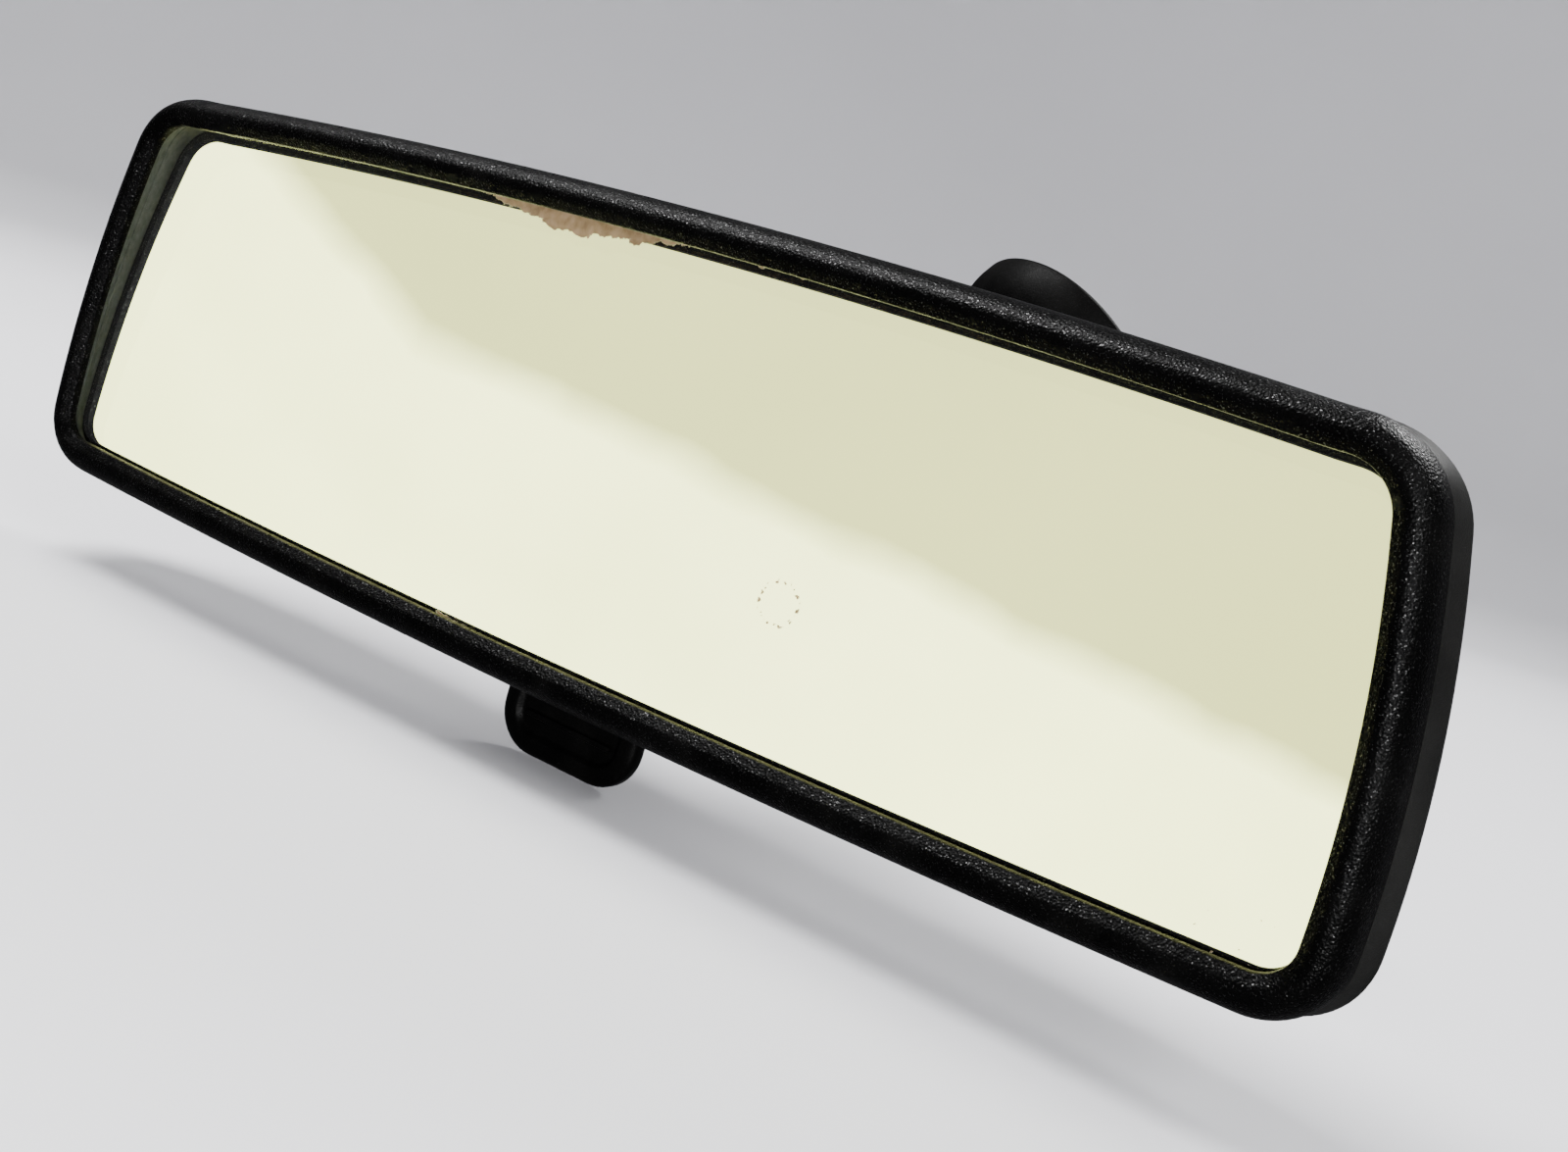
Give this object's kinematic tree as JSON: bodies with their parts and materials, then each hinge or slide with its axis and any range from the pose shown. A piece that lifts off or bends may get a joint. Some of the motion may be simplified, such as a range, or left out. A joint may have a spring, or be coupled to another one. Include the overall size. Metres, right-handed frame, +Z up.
{
  "type": "interior rearview mirror",
  "caption": "Interior rearview mirror: prismatic day/night glass in a black two-part housing, with a flip lever and a ball-jointed arm on a round windscreen foot.",
  "frame": {"origin": "centre of the round foot's mounting face, which lies on the windscreen", "axes": "+X along the head to the viewer's right, the glass faces -Y at rest, +Z up; the foot's axis leaves the origin forwards (+Y), 49 degrees above the horizontal and 25 degrees to the right of +Y"},
  "size_m": [0.2547, 0.1108, 0.1042],
  "materials": {
    "bezel_plastic": "fine moulded grain, satin",
    "shell_plastic": "smooth satin",
    "prism_glass": "polished, faint green",
    "silver_coat": "silvered back face, slightly aged",
    "foam": "closed-cell foam",
    "inner_plastic": "glass-filled, matt",
    "zinc_steel": "zinc plated",
    "ground_steel": "ground",
    "spring_steel": "tempered",
    "rubber": "matt",
    "lever_plastic": "satin, softly worn edge",
    "seat_nylon": "natural nylon",
    "ball_steel": "polished ball",
    "arm_plastic": "satin",
    "foot_plastic": "smooth satin"
  },
  "bodies": {
    "windscreen_arm": {"mount_foot": "foot_plastic", "foot_gasket": "rubber", "button_clip": "spring_steel", "clip_rivets": "ground_steel", "arm": "arm_plastic", "arm_screw": "zinc_steel", "ball_stud": "ball_steel", "stud_spring_pin": "spring_steel"},
    "seat_cup": {"ball_seat_cup": "seat_nylon"},
    "seat_ring": {"ball_seat_ring": "seat_nylon"},
    "toggle": {"toggle_bracket": "inner_plastic", "socket_retainer": "zinc_steel", "retainer_screws": "zinc_steel", "clamp_spring_washer": "spring_steel"},
    "head": {"rear_shell": "shell_plastic", "bezel": "bezel_plastic", "prism_glass": "prism_glass", "silver_coat": "silver_coat", "glass_foam_pad": "foam", "inner_frame": "inner_plastic", "frame_screws": "zinc_steel", "tilt_hinge_rod": "ground_steel", "lever_pivot_pin": "ground_steel", "lever_detent_spring": "spring_steel", "day_stop_pads": "rubber", "night_stop_pad": "rubber"},
    "lever": {"day_night_lever": "lever_plastic", "lever_drive_pin": "ground_steel"}
  },
  "joints": [
    {"name": "head_pan", "type": "hinge", "parent": "windscreen_arm", "child": "seat_cup", "pos_m": [-0.03176, -0.06812, -0.0354], "axis": [0, 0, 1], "range_deg": [-52, 3]},
    {"name": "head_tilt", "type": "hinge", "parent": "seat_cup", "child": "seat_ring", "pos_m": [-0.03176, -0.06812, -0.0354], "axis": [1, 0, 0], "range_deg": [-8, 46]},
    {"name": "head_roll", "type": "hinge", "parent": "seat_ring", "child": "toggle", "pos_m": [-0.03176, -0.06812, -0.0354], "axis": [0, 1, 0], "continuous": true},
    {"name": "day_night_tilt", "type": "hinge", "parent": "toggle", "child": "head", "pos_m": [-0.03176, -0.07412, -0.0114], "axis": [-1, 0, 0], "range_deg": [0, 4.75]},
    {"name": "lever_flip", "type": "hinge", "parent": "head", "child": "lever", "pos_m": [-0.03176, -0.07612, -0.0689], "axis": [-1, 0, 0], "range_deg": [0, 30.5]}
  ],
  "couplings": [
    {"joint": "lever_flip", "follows": "day_night_tilt", "ratio": 6.3158}
  ]
}
